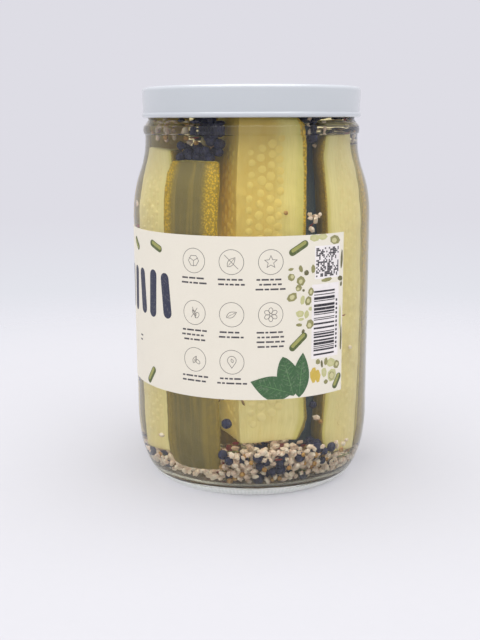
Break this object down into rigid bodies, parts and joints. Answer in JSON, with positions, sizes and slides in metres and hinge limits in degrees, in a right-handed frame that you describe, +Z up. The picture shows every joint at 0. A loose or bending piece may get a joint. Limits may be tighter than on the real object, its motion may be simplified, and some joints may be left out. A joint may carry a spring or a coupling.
{
  "type": "pickle jar",
  "caption": "Straight-sided clear glass jar of pickle spears in brine, with a white twist-off metal lid and a cream paper label wrapped most of the way round.",
  "frame": {"origin": "centre of the bearing ring, at the surface that the jar stands on", "axes": "+Z up along the jar's axis; -Y faces the label's end panel; +X is to the right in that view"},
  "size_m": [0.0934, 0.0936, 0.1523],
  "materials": {
    "jar_glass": "clear flint glass, smooth and glossy",
    "brine": "wet, pale yellow-green brine with pickle spears",
    "lid_metal": "white enamel, satin gloss",
    "label_paper": "uncoated cream paper with a matte print"
  },
  "bodies": {
    "root": {"jar": "jar_glass", "brine": "brine", "lid": "lid_metal", "label": "label_paper"}
  },
  "joints": []
}
